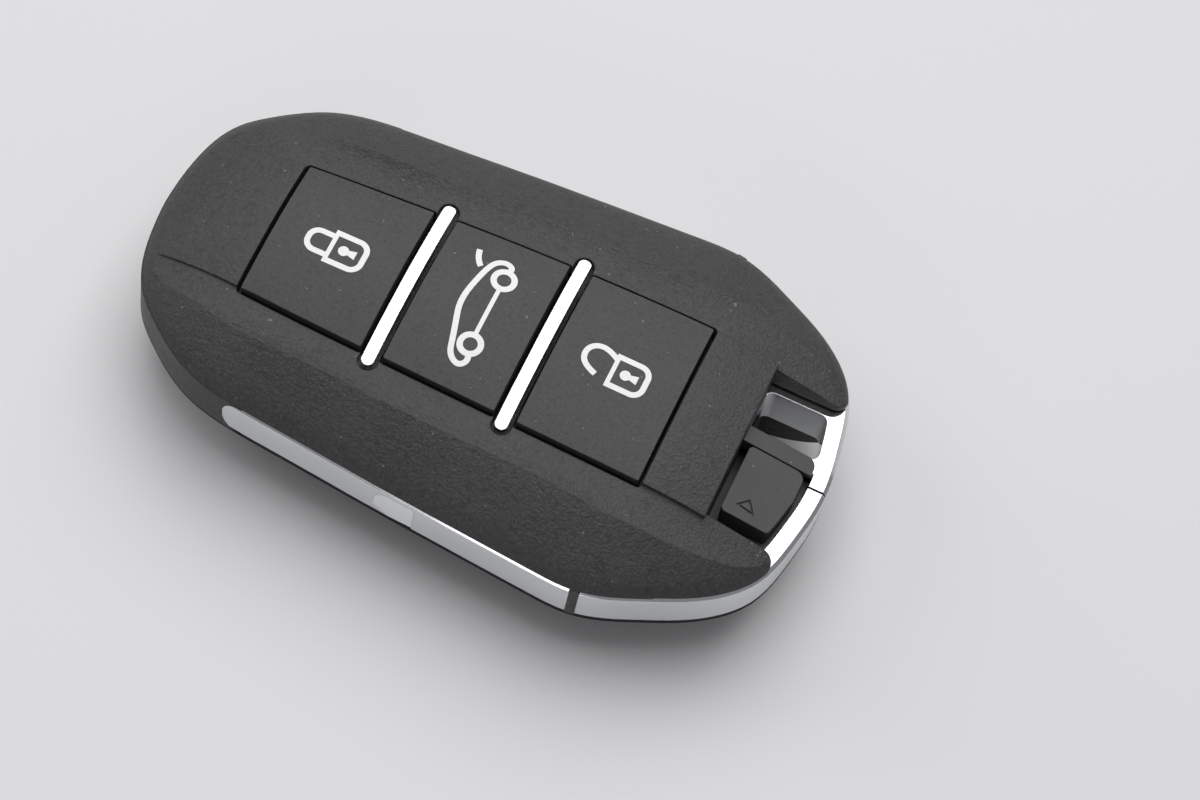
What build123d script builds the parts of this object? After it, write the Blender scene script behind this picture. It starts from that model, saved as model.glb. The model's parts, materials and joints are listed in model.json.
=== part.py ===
from build123d import *
import math
import os

# Keyless car key fob: two shells round a tray that holds the electronics and the emergency key.
# Millimetres. +X points to the keyring end, +Z up, origin under the middle of the bounding box.

# Common wall and clearance inside
NEST_WALL = 0.8
NEST_CLEAR = 0.3

# Overall size
LENGTH = 72.0
WIDTH = 41.7
HALF_LENGTH = LENGTH / 2
HALF_WIDTH = WIDTH / 2
MIDDLE_HALF_WIDTH = 20.0

# Half of the plan outline, as shares of the half length and half width, round the far side to the keyring end
OUTLINE_SHARES = [(-1, 0), (-0.996, 0.129), (-0.985, 0.264), (-0.965, 0.393), (-0.928, 0.513),
                  (-0.867, 0.619), (-0.794, 0.715), (-0.722, 0.787), (-0.639, 0.835), (-0.528, 0.866),
                  (-0.361, 0.892), (-0.181, 0.921), (0.036, 0.952), (0.222, 0.976), (0.375, 0.995),
                  (0.494, 0.998), (0.581, 0.962), (0.683, 0.885), (0.786, 0.796), (0.875, 0.686),
                  (0.933, 0.566), (0.965, 0.427), (0.983, 0.273), (0.996, 0.125), (1, 0)]

# Levels
BASE_TOP = 6.6
BAND_BOTTOM = 6.85
BAND_TOP = 11.95
JOINT_GAP = 0.05
SHELL_SPLIT = BAND_TOP + JOINT_GAP
HEAD_BOTTOM = BAND_BOTTOM + JOINT_GAP
HEAD_TOP = BAND_TOP - JOINT_GAP
HORN_BOTTOM = 12.2
HORN_CLEAR = 0.1

# Flanks: shares of how far each section draws in, and of the height that it climbs
UPPER_INSET = 13.5
UPPER_RISE = 6.6
UPPER_SHARES = [(0.089, 0.197), (0.207, 0.348), (0.348, 0.508), (0.504, 0.652), (0.704, 0.788), (1, 1)]
LOWER_INSET = 9.4
LOWER_SHARES = [(0, 1), (0.106, 0.758), (0.255, 0.515), (0.468, 0.288), (0.702, 0.121), (1, 0)]

# Along the length: height of the button edges, height of the crest each side, and where that crest lies
EDGE_TOP = 16.62
EDGE_SHARES = [(-1.167, 0.481), (-1.028, 0.686), (-0.958, 0.788), (-0.861, 0.869), (-0.778, 0.915),
               (-0.667, 0.945), (-0.444, 0.963), (-0.222, 0.984), (0, 0.996), (0.222, 1), (0.444, 0.993),
               (0.556, 0.984), (0.667, 0.954), (0.778, 0.903), (0.889, 0.836), (1.028, 0.74),
               (1.167, 0.632)]
CREST_TOP = 16.5
CREST_SHARES = [(-1.167, 0.515), (-1, 0.742), (-0.917, 0.824), (-0.833, 0.879), (-0.722, 0.924),
                (-0.611, 0.945), (-0.5, 0.964), (-0.278, 0.976), (-0.056, 0.982), (0.167, 0.994),
                (0.333, 1), (0.5, 0.973), (0.611, 0.939), (0.722, 0.897), (0.833, 0.848), (0.944, 0.794),
                (1.056, 0.733), (1.167, 0.673)]
CREST_HALF = 13.8
PLACE_SHARES = [(-1.167, 0.884), (-0.833, 0.87), (-0.722, 0.848), (-0.611, 0.848), (-0.5, 0.87),
                (-0.278, 0.899), (-0.056, 0.928), (0.167, 0.964), (0.389, 0.986), (0.611, 1), (0.722, 1),
                (0.833, 0.964), (1.167, 0.87)]

# Button panel
PANEL_LEFT = -24.2
LOCK_LENGTH = 13.3
BOOT_LENGTH = 12.1
UNLOCK_LENGTH = 13.1
BUTTON_SPACING = 2.45
LOCK_SPAN = (PANEL_LEFT, PANEL_LEFT + LOCK_LENGTH)
BOOT_SPAN = (LOCK_SPAN[1] + BUTTON_SPACING, LOCK_SPAN[1] + BUTTON_SPACING + BOOT_LENGTH)
UNLOCK_SPAN = (BOOT_SPAN[1] + BUTTON_SPACING, BOOT_SPAN[1] + BUTTON_SPACING + UNLOCK_LENGTH)
BUTTON_SPANS = {"lock": LOCK_SPAN, "boot": BOOT_SPAN, "unlock": UNLOCK_SPAN}
PANEL_RIGHT = UNLOCK_SPAN[1]
PANEL_HALF_LEFT = 7.7
PANEL_HALF_RIGHT = 9.3
PANEL_BOW = 0.3
CROWN_RISE = 0.85
PAD_RISE = 0.45
PAD_RISE_END = 0.08
PAD_FADE_MIDDLE = -27.8
PAD_FADE_LENGTH = 0.7
RECESS_LEFT = 26.4
RECESS_HALF = 8.85
BUTTON_GAP = 0.45
BAR_GAP = 0.32
OPENING_RADIUS = 0.5

# Divider bars
BAR_CENTRES = {"left": (LOCK_SPAN[1] + BOOT_SPAN[0]) / 2, "right": (BOOT_SPAN[1] + UNLOCK_SPAN[0]) / 2}
BAR_OVERHANG = 1.45
BAR_WIDTH = 1.3
BAR_SLOT_WIDTH = 2.1
BAR_SLOT_END_GAP = 0.42
BAR_SEAT = 15.0
BAR_PROUD = 0.12
BAR_CORNER = 0.6
WEB_BOTTOM = 13.9

# Shell walls
TOP_WALL = 1.4
SIDE_WALL = 2.2
BASE_WALL = 1.6
BASE_FLOOR = 1.4
TRIM_THICK = 1.1
CORNER_THICK = 1.3
CAVITY_RIGHT = 25.2

# Chrome band
STRIP_LEFT = -21.0
STRIP_RIGHT = 17.6
STRIP_LEFT_RADIUS = 2.2
CORNER_LEFT = 18.6
HEAD_ARM_LEFT = 18.9
SPLIT_GAP = 0.12
RING_WIDTH = 1.95
HORN_ROUND = 1.25
HORN_SET_BACK = 3.15
HORN_TURN = 21
CHROME_EDGE = 0.4
NOTCH_RIGHT = 0.6
NOTCH_LENGTH = 4.4
NOTCH_LIP = 0.7
NOTCH_FOOT = 0.1
NOTCH_DEPTH = 0.8
NOTCH_CORNER = 1.9

# Emergency key
EYE_LEFT = 26.35
EYE_NEAR = 2.9
EYE_FAR = 8.0
EYE_CORNER = 0.9
EYE_WALL = 1.35
HEAD_CORE_LEFT = 25.6
EYE_NOTCH_LEFT = HEAD_CORE_LEFT + NEST_WALL
BLADE_NEAR = 8.1
BLADE_WIDTH = 6.2
BLADE_BOTTOM = 7.5
BLADE_THICK = 2.0
BLADE_TIP = -18.5
BLADE_NOSE = 2.2
GROOVE_DEPTH = 0.55
GROOVE_WIDTH = 1.6
TOOTH_DEPTH = 1.4
TOOTH_DEPTH_SHARES = [0.5, 0.85, 0.35, 0.7, 1, 0.45, 0.8]
TOOTH_PITCH = 3.1
TOOTH_START = -13.5
TOOTH_HALF = 1.1

# Release slider and bar
RECESS_END = 34.2
BAR2_NEAR = 0.75
BAR2_FAR = 2.55
RECESS_TOP_LEFT = 14.0
RECESS_TOP_RIGHT = 12.76
SLIDER_LEFT = 27.3
SLIDER_RIGHT = 33.4
SLIDER_FAR = 0.6
SLIDER_NEAR = -7.1
SLIDER_BOTTOM = 10.8
SLIDER_CORNER = 1.0
SLIDER_TRAVEL = 1.2
DECK_TOP = 10.5
DECK_BOTTOM = 9.9
LEG_LEFT = 29.0
LEG_RIGHT = 31.0
LEG_NEAR = -2.5
LEG_FAR = -0.5
TONGUE_TIP = 1.2
TONGUE_TOP = 9.6
LEG_BOTTOM = 8.0
ARROW_SHARES = [(0.196, 0.169), (0.369, 0.312), (0.533, 0.136)]
ARROW_LINE = 0.16
ARROW_DEPTH = 0.15
SPRING_RADIUS = 0.9
SPRING_WIRE = 0.2
SPRING_TURNS = 5

# Tray, board and battery
PLATE_BOTTOM = 5.6
PLATE_INSET = 2.9
RISER = 2.0
CHANNEL_CLEAR = 0.3
CHANNEL_WALL = 0.7
CHANNEL_TOP = 10.5
CHANNEL_LEFT = -21.5
BATTERY_X = -8.0
BATTERY_Y = -3.0
BATTERY_RADIUS = 10.0
BATTERY_THICK = 3.2
BATTERY_BOTTOM = 2.2
BATTERY_EDGE = 0.3
LEAF = 0.25
LEAF_WIDTH = 3.0
LEAF_LENGTH = 7.0
LEAF_FOOT = 2.0
CLIP_WIDTH = 4.0
BOARD_BOTTOM = 7.6
BOARD_THICK = 1.0
BOARD_TOP = BOARD_BOTTOM + BOARD_THICK
BOARD_LEFT = -30.5
BOARD_LENGTH = 48.5
BOARD_RIGHT = BOARD_LEFT + BOARD_LENGTH
BOARD_FAR = 6.8
BOARD_WIDTH = 20.6
BOARD_NEAR = BOARD_FAR - BOARD_WIDTH
BOARD_CUT_X = 6.5
BOARD_CUT_Y = 5.0
POST_SHARES = [(-0.739, 0.475), (-0.783, -0.336), (0.444, -0.59)]
POST_RADIUS = 1.1
POST_HOLE_CLEAR = 0.25
STANDOFF_SHARES = [(-0.625, 0.216), (-0.625, -0.48), (0.25, -0.504), (0.431, 0.23)]
STANDOFF_RADIUS = 1.0

# Keypad
MAT_BOTTOM = 10.5
MAT_THICK = 0.7
MAT_LEFT = -25.0
MAT_RIGHT = 20.0
MAT_NEAR = -9.6
MAT_FAR = 11.0
MAT_CORNER = 1.5
MAT_FOOT_SHARES = [(-0.611, -0.403), (-0.125, -0.403), (0.472, -0.403)]
FOOT_RADIUS = 0.8
DOME_RADIUS = 2.4
DOME_POST_RADIUS = 1.5
DOME_TOP = 12.85
CAP_BOTTOM = 12.9
CAP_FLANGE = 0.55
CAP_FLANGE_TOP = 13.5
CAP_WALL = 1.3
CAP_ROOF = 15.0
CAP_POST = 3.4
SWITCH_SIZE = 4.6
SWITCH_HEIGHT = 1.5
PLUNGER_RADIUS = 1.0

# Board parts as shares of the board's length and width and of the tallest part: middle, then size
PART_HEIGHT = 1.7
PART_SHARES = {"controller_chip": (0.423, 0.28, 0.103, 0.243, 0.58),
               "radio_chip": (0.732, 0.32, 0.082, 0.194, 0.52),
               "crystal": (0.633, 0.32, 0.052, 0.155, 0.47),
               "transponder_coil": (0.967, 0.6, 0.052, 0.388, 1),
               "antenna_coil": (0.072, 0.67, 0.115, 0.37, 1)}
COIL_CORNER = 0.6

# Symbols
SYMBOL_DEPTH = 0.3
LOCK_PLACE = 5.78
UNLOCK_PLACE = 5.9
STROKE = 0.6
THIN_STROKE = 0.46
PADLOCK_LENGTH = 4.0
PADLOCK_HALF = 1.95
PADLOCK_CORNER = 1.35
SHACKLE_REACH = 2.55
SHACKLE_HALF = 1.45
SHACKLE_CORNER = 1.3
KEYHOLE_RADIUS = 0.56
KEYHOLE_PLACE = 1.55
KEYHOLE_TAIL = 1.3
KEYHOLE_TAIL_HALF = 0.48
LOCK_LEFT = LOCK_SPAN[0] + LOCK_PLACE
UNLOCK_LEFT = UNLOCK_SPAN[0] + UNLOCK_PLACE
OPEN_SHACKLE_SHARES = [(0.062, 0.3), (-0.25, 0.45), (-0.425, 0.47), (-0.575, 0.425), (-0.7, 0.305),
                       (-0.745, 0.138), (-0.71, -0.025), (-0.583, -0.163), (-0.44, -0.242), (-0.297, -0.3)]
CAR_HALF = 6.1
CAR_SHARES = [(0.17, 0.877), (0.177, 0.959), (0.107, 1), (-0.02, 0.98), (-0.098, 0.918), (-0.151, 0.82),
              (-0.22, 0.574), (-0.272, 0.311), (-0.293, 0.082), (-0.279, -0.098), (-0.233, -0.279),
              (-0.177, -0.475), (-0.115, -0.705), (-0.057, -0.877), (0.025, -0.967), (0.148, -1.003),
              (0.21, -0.959), (0.213, -0.803)]
CAR_LID_SHARES = [(-0.433, 1.057), (-0.407, 0.951), (-0.361, 0.852), (-0.287, 0.762)]
CAR_WHEEL_SHARES = [(0.169, -0.618), (0.164, 0.685)]
WHEEL_OUTER = 1.36
WHEEL_INNER = 0.72

# Surface grid
GRID_STEP = 5.6
GRID_COUNT_X = 15
GRID_COUNT_Y = 9
GRID_STEP_Y = 5.9
FIT_TOLERANCE = 0.02
BIG = 60.0
OVERRUN = 1.0


def along(x, shares, size):
    """Smooth value at x of a table of shares of the half length and of the size."""
    u = x / HALF_LENGTH
    i = 0
    while i < len(shares) - 2 and u > shares[i + 1][0]:
        i += 1
    (u0, v0), (u1, v1) = shares[i], shares[i + 1]
    before, after = shares[max(i - 1, 0)], shares[min(i + 2, len(shares) - 1)]
    slope0 = (v1 - before[1]) / (u1 - before[0])
    slope1 = (after[1] - v0) / (after[0] - u0)
    span = u1 - u0
    t = (u - u0) / span
    start = (1 + 2 * t) * (1 - t) ** 2 * v0 + t * (1 - t) ** 2 * span * slope0
    return size * (start + t * t * (3 - 2 * t) * v1 + t * t * (t - 1) * span * slope1)


def panel_half(x):
    """Half width of the button panel at x."""
    share = (x - PANEL_LEFT) / (PANEL_RIGHT - PANEL_LEFT)
    bow = PANEL_BOW * (1 - (2 * share - 1) ** 2)
    return PANEL_HALF_LEFT + share * (PANEL_HALF_RIGHT - PANEL_HALF_LEFT) + bow


def crown(x, y):
    """Rise of the button tops above their edges."""
    return CROWN_RISE * (1 - (y / panel_half(x)) ** 2)


def cap_height(x, y):
    """Height of the crowned button surface."""
    return along(x, EDGE_SHARES, EDGE_TOP) + crown(x, y)


def rail_height(x, y):
    """Height of the cover's top: crowned in the middle, hollow between the panel and the crest."""
    fade = 1 / (1 + math.exp((PAD_FADE_MIDDLE - x) / PAD_FADE_LENGTH))
    start = along(x, EDGE_SHARES, EDGE_TOP) - PAD_RISE_END - (PAD_RISE - PAD_RISE_END) * fade
    edge2 = panel_half(x) ** 2
    crest2 = along(x, PLACE_SHARES, CREST_HALF) ** 2
    climb = (along(x, CREST_SHARES, CREST_TOP) - start) / (crest2 - edge2)
    bend = (CROWN_RISE + climb * edge2) / (edge2 * crest2)
    y2 = y * y
    return start + climb * (y2 - edge2) + bend * (y2 - edge2) * (y2 - crest2)


def surface(height, drop):
    """Smooth face through a grid of heights, lowered by drop."""
    rows = []
    for i in range(GRID_COUNT_X):
        x = (i - (GRID_COUNT_X - 1) / 2) * GRID_STEP
        row = []
        for j in range(GRID_COUNT_Y):
            y = (j - (GRID_COUNT_Y - 1) / 2) * GRID_STEP_Y
            row.append(Vector(x, y, height(x, y) - drop))
        rows.append(row)
    return Face.make_surface_from_array_of_points(rows, tol=FIT_TOLERANCE, min_deg=3, max_deg=3)


def below(face):
    """Solid under a surface."""
    return Solid.extrude(face, Vector(0, 0, -BIG))


def outline_points(inset):
    """Whole outline, drawn in towards the middle by the inset."""
    sx, sy = HALF_LENGTH - inset, HALF_WIDTH * (1 - inset / MIDDLE_HALF_WIDTH)
    half = [(a * sx, b * sy) for a, b in OUTLINE_SHARES]
    return half + [(x, -y) for x, y in reversed(half[1:-1])]


def outline_wire(inset, z):
    points = [Vector(x, y, z) for x, y in outline_points(inset)]
    return Wire([Edge.make_spline(points, periodic=True)])


def slab(inset, bottom, top):
    """Straight-sided piece with the fob's outline."""
    face = Face(outline_wire(inset, bottom))
    return Solid.extrude(face, Vector(0, 0, top - bottom))


def rounded_slab(bottom, top):
    """Outline slab with its outer top and bottom edges eased."""
    low = Solid.make_loft([outline_wire(CHROME_EDGE, bottom), outline_wire(0, bottom + CHROME_EDGE)], True)
    high = Solid.make_loft([outline_wire(0, top - CHROME_EDGE), outline_wire(CHROME_EDGE, top)], True)
    return slab(0, bottom + CHROME_EDGE, top - CHROME_EDGE) + low + high


def upper_flank(extra, step):
    """Rounded upper form through every step-th level, drawn in by extra."""
    levels = [(JOINT_GAP, SHELL_SPLIT - 2 * JOINT_GAP)]
    levels += [(a * UPPER_INSET, SHELL_SPLIT + b * UPPER_RISE) for a, b in UPPER_SHARES[step - 1::step]]
    return Solid.make_loft([outline_wire(inset + extra, z) for inset, z in levels])


def lower_flank(extra):
    levels = [(a * LOWER_INSET + extra, b * BASE_TOP) for a, b in LOWER_SHARES]
    return Solid.make_loft([outline_wire(inset, z) for inset, z in levels])


def block(x0, x1, y0, y1, z0, z1):
    """Box between limits."""
    box = Box(x1 - x0, y1 - y0, z1 - z0)
    return Pos((x0 + x1) / 2, (y0 + y1) / 2, (z0 + z1) / 2) * box


def rod(x, y, z0, z1, radius):
    return Pos(x, y, (z0 + z1) / 2) * Cylinder(radius, z1 - z0)


def soft_block(x0, x1, y0, y1, z0, z1, radius):
    """Box with its four upright edges rounded."""
    face = Rectangle(x1 - x0, y1 - y0)
    face = fillet(face.vertices(), radius)
    return Pos((x0 + x1) / 2, (y0 + y1) / 2, z0) * extrude(face, z1 - z0)


def panel_face(x0, x1, grow_x0, grow_x1, grow_y, radius):
    """Plan of a button or its opening, with bowed long sides."""
    a, b = x0 - grow_x0, x1 + grow_x1
    m = (a + b) / 2
    far = [(x, panel_half(x) + grow_y) for x in (a, m, b)]
    near = [(x, -y) for x, y in far]
    lines = Curve() + ThreePointArc(*far) + Line(far[2], near[2])
    lines += ThreePointArc(*reversed(near))
    lines += Line(near[0], far[0])
    face = make_face(lines)
    return fillet(face.vertices(), radius) if radius else face


def tall(face, bottom=0.0, top=BIG):
    return Pos(0, 0, bottom) * extrude(face, top - bottom, (0, 0, 1))


def places(shares):
    """Plan places from shares of the half length and half width."""
    return [(a * HALF_LENGTH, b * HALF_WIDTH) for a, b in shares]


def as_one(shape):
    """Largest solid of a result, so that each node is one solid."""
    return max(shape.solids(), key=lambda s: s.volume)


# Shared forms
rail_top = below(surface(rail_height, 0))
rail_under = below(surface(rail_height, TOP_WALL))
cap_top = below(surface(cap_height, 0))
cap_symbol_floor = below(surface(cap_height, SYMBOL_DEPTH))
bar_top = below(surface(cap_height, -BAR_PROUD))


def opening_faces():
    """Plan of the three button openings."""
    faces = []
    for name, (x0, x1) in BUTTON_SPANS.items():
        grow_left = BUTTON_GAP if name == "lock" else BAR_GAP
        grow_right = BUTTON_GAP if name == "unlock" else BAR_GAP
        faces.append(panel_face(x0, x1, grow_left, grow_right, BUTTON_GAP, OPENING_RADIUS))
    return faces


def strip_region(side, inset_out, thick, bottom, top, grow):
    """Chrome strip, or its seat, in one side wall."""
    ring = slab(inset_out, bottom, top) - slab(thick, bottom, top)
    profile = Rectangle(STRIP_RIGHT - STRIP_LEFT + 2 * grow, top - bottom)
    profile = fillet(profile.vertices().group_by(Axis.X)[0], STRIP_LEFT_RADIUS)
    middle = (STRIP_LEFT + STRIP_RIGHT) / 2
    window = Pos(middle, 0, (bottom + top) / 2) * Rot(90, 0, 0) * extrude(profile, -side * BIG)
    return ring & window


def notch_tool():
    """Wedge that leans into the near strip, straight on its right and rounded on its left."""
    near = -along(NOTCH_RIGHT, OUTLINE_SHARES, HALF_WIDTH)
    top = BAND_TOP - NOTCH_LIP
    points = [(near - OVERRUN, BASE_TOP), (near + NOTCH_FOOT, BASE_TOP),
              (near + NOTCH_DEPTH, top), (near - OVERRUN, top)]
    left = NOTCH_RIGHT - NOTCH_LENGTH
    wedge = Pos(left, 0, 0) * extrude(Plane.YZ * make_face(Polyline(*points, close=True)), NOTCH_LENGTH)
    profile = Rectangle(NOTCH_LENGTH, top - BASE_TOP + OVERRUN)
    profile = fillet(profile.vertices().group_by(Axis.X)[0], NOTCH_CORNER)
    window = Rot(90, 0, 0) * extrude(profile, BIG)
    return wedge & (Pos(left + NOTCH_LENGTH / 2, 0, (top + BASE_TOP - OVERRUN) / 2) * window)


def ring_plan(clear, x0, x1, y0, y1):
    """Plan between limits, kept inside the chrome ring by a clearance."""
    inside = Sketch() + Face(outline_wire(RING_WIDTH + clear, 0))
    return inside & (Pos((x0 + x1) / 2, (y0 + y1) / 2) * Rectangle(x1 - x0, y1 - y0))


def round_plan(plan, radius, far_radius):
    """Plan with its corners rounded, the one at the far right by its own radius."""
    corners = plan.vertices().sort_by(lambda v: v.X + v.Y)
    plan = fillet(corners[:-1], radius)
    return fillet(plan.vertices().sort_by(lambda v: v.X + v.Y)[-1], far_radius)


def recess_plan():
    """Plan of the recess at the keyring end, flared round the blunt horn tips."""
    x, y = HALF_LENGTH - HORN_SET_BACK, RECESS_HALF + HORN_ROUND
    turns = [math.radians(angle) for angle in (90, 45 - HORN_TURN / 2, -HORN_TURN)]
    near = [(x + HORN_ROUND * math.cos(a), HORN_ROUND * math.sin(a) - y) for a in turns]
    far = [(a, -b) for a, b in near]
    lines = Curve() + ThreePointArc(*near) + ThreePointArc(*reversed(far))
    lines += Polyline(near[2], (BIG, near[2][1]), (BIG, far[2][1]), far[2])
    lines += Polyline(far[0], (RECESS_LEFT, RECESS_HALF), (RECESS_LEFT, -RECESS_HALF), near[0])
    return make_face(lines)


def corner_region(side, bottom, top):
    """Chrome round one corner of the keyring end, up to the split in the middle."""
    solid = rounded_slab(bottom, top)
    thin = slab(CORNER_THICK, bottom - OVERRUN, top + OVERRUN)
    thin = thin & block(-BIG, RECESS_LEFT, -BIG, BIG, -BIG, BIG)
    inner = slab(RING_WIDTH, bottom - OVERRUN, top + OVERRUN) + thin
    left = CORNER_LEFT if side < 0 else HEAD_ARM_LEFT
    y0, y1 = (-BIG, -SPLIT_GAP) if side < 0 else (SPLIT_GAP, BIG)
    return (solid - inner) & block(left, BIG, y0, y1, -BIG, BIG)


def make_upper_cover():
    pads = tall(panel_face(-HALF_LENGTH, RECESS_LEFT, 0, 0, 0, 0)) & cap_top
    form = upper_flank(0, 1) & (rail_top + pads)
    form += slab(0, BAND_BOTTOM, SHELL_SPLIT)
    hollow = upper_flank(SIDE_WALL + BAR_GAP, 2) & rail_under
    hollow = hollow + slab(SIDE_WALL, BAND_BOTTOM - OVERRUN, SHELL_SPLIT)
    hollow = hollow & block(-BIG, CAVITY_RIGHT, -BIG, BIG, -BIG, BIG)
    cover = form - hollow
    cuts = [tall(recess_plan())]
    cuts += [tall(face, SHELL_SPLIT) for face in opening_faces()]
    cuts += [strip_region(side, -OVERRUN, TRIM_THICK, BAND_BOTTOM, SHELL_SPLIT, 0) for side in (-1, 1)]
    cuts.append(block(CORNER_LEFT, BIG, 0, BIG, -BIG, HORN_BOTTOM))
    near_trim = slab(-OVERRUN, 0, SHELL_SPLIT) - slab(CORNER_THICK, 0, SHELL_SPLIT)
    cuts.append(near_trim & block(CORNER_LEFT, BIG, -BIG, 0, -BIG, BIG))
    cuts.append(block(CAVITY_RIGHT, BIG, -BIG, 0, -BIG, SHELL_SPLIT + HORN_CLEAR))
    cover = as_one(Part() + cover - [solid for cut in cuts for solid in cut.solids()])
    webs, slots = [], []
    for key, x in BAR_CENTRES.items():
        web_half = BAR_WIDTH / 2 + BAR_GAP / 2
        reach = panel_half(x) + BAR_OVERHANG + BAR_SLOT_END_GAP
        webs.append(block(x - web_half, x + web_half, -reach, reach, WEB_BOTTOM, BAR_SEAT))
        slots.append(Pos(x, 0, BAR_SEAT) * extrude(SlotOverall(2 * reach, BAR_SLOT_WIDTH, rotation=90), BIG))
    posts = [rod(x, y, BASE_TOP, rail_height(x, y) - TOP_WALL / 2, POST_RADIUS)
             for x, y in places(POST_SHARES)]
    return as_one(Part() + cover + webs + posts - slots)


def make_lower_cover():
    form = lower_flank(0)
    hollow = lower_flank(BASE_WALL) & block(-BIG, BIG, -BIG, BIG, BASE_FLOOR, BASE_TOP)
    hollow = hollow & block(-BIG, HEAD_CORE_LEFT, -BIG, BIG, 0, BIG)
    cover = form - hollow
    cover -= block(EYE_NOTCH_LEFT, BIG, EYE_NEAR - EYE_WALL, RECESS_HALF + CHANNEL_CLEAR, -OVERRUN, BIG)
    return as_one(cover)


def make_side_trim(side):
    strip = rounded_slab(BAND_BOTTOM, BAND_TOP) & strip_region(side, 0, TRIM_THICK, BAND_BOTTOM, BAND_TOP, 0)
    if side < 0:
        strip = strip - notch_tool()
    return as_one(strip)


def make_corner_trim():
    return as_one(corner_region(-1, BAND_BOTTOM, BAND_TOP))


def make_key_head():
    head = corner_region(1, HEAD_BOTTOM, HEAD_TOP)
    core = rounded_slab(HEAD_BOTTOM, HEAD_TOP)
    core = core & block(HEAD_CORE_LEFT, BIG, EYE_NEAR - EYE_WALL, BIG, 0, BIG)
    eye = round_plan(ring_plan(0, EYE_LEFT, BIG, EYE_NEAR, EYE_FAR), EYE_CORNER, EYE_CORNER)
    return as_one(head + core - tall(eye))


def make_key_blade():
    y0, y1 = BLADE_NEAR, BLADE_NEAR + BLADE_WIDTH
    middle = (y0 + y1) / 2
    top = BLADE_BOTTOM + BLADE_THICK
    points = [(HEAD_CORE_LEFT, y0), (BLADE_TIP + BLADE_NOSE, y0), (BLADE_TIP, middle - BLADE_NOSE / 2),
              (BLADE_TIP, middle + BLADE_NOSE / 2), (BLADE_TIP + BLADE_NOSE, y1), (HEAD_CORE_LEFT, y1)]
    plan = make_face(Polyline(*points, close=True))
    blade = Pos(0, 0, BLADE_BOTTOM) * extrude(plan, BLADE_THICK)
    groove_end = HEAD_CORE_LEFT - BLADE_WIDTH
    for z, y in ((top, middle - GROOVE_WIDTH / 2), (BLADE_BOTTOM, middle + GROOVE_WIDTH / 2)):
        blade -= block(BLADE_TIP - OVERRUN, groove_end, y - GROOVE_WIDTH / 2, y + GROOVE_WIDTH / 2,
                       z - GROOVE_DEPTH, z + GROOVE_DEPTH)
    for i, depth_share in enumerate(TOOTH_DEPTH_SHARES):
        depth = TOOTH_DEPTH * depth_share
        x = TOOTH_START + i * TOOTH_PITCH
        tooth = Polyline((x - TOOTH_HALF - depth, y1 + OVERRUN), (x - TOOTH_HALF / 2, y1 - depth),
                         (x + TOOTH_HALF / 2, y1 - depth), (x + TOOTH_HALF + depth, y1 + OVERRUN), close=True)
        blade -= tall(make_face(tooth))
    return as_one(blade)


def sloped_wedge(x0, x1, y0, y1, bottom):
    """Block under the recess pieces' sloping top line."""
    def top(x):
        share = (x - RECESS_LEFT) / (RECESS_END - RECESS_LEFT)
        return RECESS_TOP_LEFT + share * (RECESS_TOP_RIGHT - RECESS_TOP_LEFT)
    profile = Polyline((x0, y0, bottom), (x1, y0, bottom), (x1, y0, top(x1)), (x0, y0, top(x0)), close=True)
    return Solid.extrude(Face(Wire(profile.edges())), Vector(0, y1 - y0, 0))


def make_recess_bar():
    plan = ring_plan(SPLIT_GAP, RECESS_LEFT, BIG, BAR2_NEAR, BAR2_FAR)
    plan = fillet(plan.vertices().sort_by(lambda v: v.X + v.Y)[-1], SLIDER_CORNER)
    return as_one(sloped_wedge(RECESS_LEFT, RECESS_END, BAR2_NEAR, BAR2_FAR, HORN_BOTTOM) & tall(plan))


def make_release_slider():
    top = sloped_wedge(SLIDER_LEFT, SLIDER_RIGHT, SLIDER_NEAR, SLIDER_FAR, SLIDER_BOTTOM)
    plan = ring_plan(NEST_CLEAR, SLIDER_LEFT, SLIDER_RIGHT, SLIDER_NEAR, SLIDER_FAR)
    plan = plan & (Pos(0, SLIDER_TRAVEL) * ring_plan(NEST_CLEAR, SLIDER_LEFT, BIG, -BIG, BIG))
    slider = Part() + (top & tall(round_plan(plan, OPENING_RADIUS, SLIDER_CORNER)))
    slider += block(LEG_LEFT, LEG_RIGHT, LEG_NEAR, LEG_FAR, LEG_BOTTOM, SLIDER_BOTTOM + ARROW_DEPTH)
    slider += block(LEG_LEFT, LEG_RIGHT, LEG_FAR - ARROW_DEPTH, TONGUE_TIP, LEG_BOTTOM, TONGUE_TOP)
    cut = sloped_wedge(RECESS_LEFT, RECESS_END, SLIDER_NEAR, SLIDER_FAR, SLIDER_BOTTOM)
    floor = Pos(0, 0, -ARROW_DEPTH) * cut
    size_x, size_y = SLIDER_RIGHT - SLIDER_LEFT, SLIDER_FAR - SLIDER_NEAR
    points = [(SLIDER_LEFT + a * size_x, SLIDER_NEAR + b * size_y) for a, b in ARROW_SHARES]
    outer = make_face(Polyline(*points, close=True))
    inner = offset(outer, -ARROW_LINE)
    slider -= tall(outer - inner) - floor
    return as_one(slider)


def make_release_spring():
    x = (LEG_LEFT + LEG_RIGHT) / 2
    length = LEG_NEAR - SPRING_WIRE - (-RECESS_HALF + SPRING_WIRE + CHANNEL_CLEAR)
    z = LEG_BOTTOM + SPRING_RADIUS
    path = Helix(length / SPRING_TURNS, length, SPRING_RADIUS - SPRING_WIRE)
    start = path @ 0
    profile = Plane(origin=start, z_dir=path % 0) * Circle(SPRING_WIRE)
    coil = sweep(profile, path=path, is_frenet=True)
    return as_one(Pos(x, -RECESS_HALF + SPRING_WIRE + CHANNEL_CLEAR, z) * Rot(-90, 0, 0) * coil)


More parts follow.
